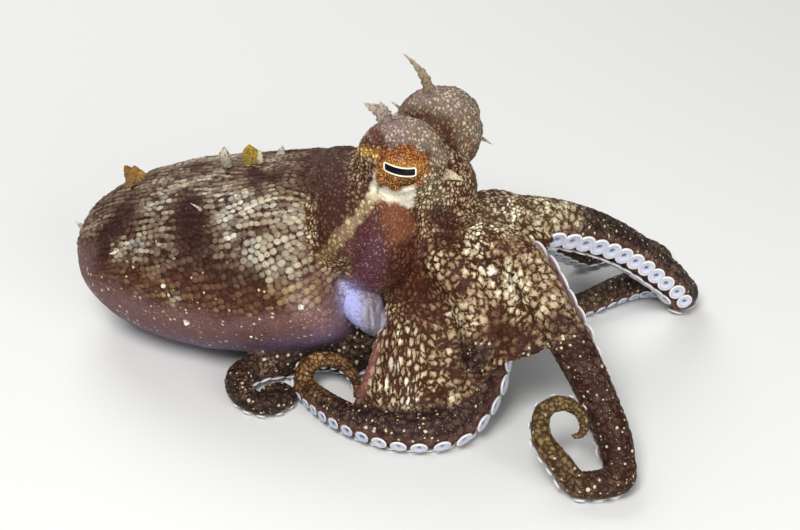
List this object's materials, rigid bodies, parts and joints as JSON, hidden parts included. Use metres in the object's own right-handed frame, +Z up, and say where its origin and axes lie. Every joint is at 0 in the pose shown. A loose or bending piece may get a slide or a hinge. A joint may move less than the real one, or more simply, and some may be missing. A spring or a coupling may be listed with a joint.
{
  "type": "veined octopus",
  "caption": "Life-size model of a veined octopus crawling on the floor, head raised and arms arched forwards and curled, with suckers and webs between the arms.",
  "frame": {"origin": "middle of the box's underside, on the floor that the model rests on", "axes": "+X the way the animal looks, +Y its left side, +Z up"},
  "size_m": [0.1634, 0.1306, 0.0738],
  "materials": {
    "mantle_skin": "moist granular skin, maroon brown with cream cells",
    "head_skin": "moist granular skin, red brown with pale patches",
    "arm_skin": "moist skin, dark maroon with pale dots, pale bluish suckers",
    "web_skin": "moist skin, cream cells in a dark net",
    "funnel_skin": "smooth moist skin, bluish white",
    "eye": "wet, gold and copper speckles round a black bar pupil"
  },
  "bodies": {
    "root": {"mantle": "mantle_skin", "head": "head_skin", "eye_right": "eye", "eye_left": "eye", "funnel": "funnel_skin", "web_r1_r2": "web_skin", "web_r2_r3": "web_skin", "web_r3_r4": "web_skin", "web_r4_l4": "web_skin", "web_l4_l3": "web_skin", "web_l3_l2": "web_skin", "web_l2_l1": "web_skin", "web_l1_r1": "web_skin", "arm_r1_base": "arm_skin", "arm_r1_middle": "arm_skin", "arm_r1_tip": "arm_skin", "arm_r2_base": "arm_skin", "arm_r2_middle": "arm_skin", "arm_r2_tip": "arm_skin", "arm_r3_base": "arm_skin", "arm_r3_middle": "arm_skin", "arm_r3_tip": "arm_skin", "arm_r4_base": "arm_skin", "arm_r4_middle": "arm_skin", "arm_r4_tip": "arm_skin", "arm_l1_base": "arm_skin", "arm_l1_middle": "arm_skin", "arm_l1_tip": "arm_skin", "arm_l2_base": "arm_skin", "arm_l2_middle": "arm_skin", "arm_l2_tip": "arm_skin", "arm_l3_base": "arm_skin", "arm_l3_middle": "arm_skin", "arm_l3_tip": "arm_skin", "arm_l4_base": "arm_skin", "arm_l4_middle": "arm_skin", "arm_l4_tip": "arm_skin"}
  },
  "joints": []
}
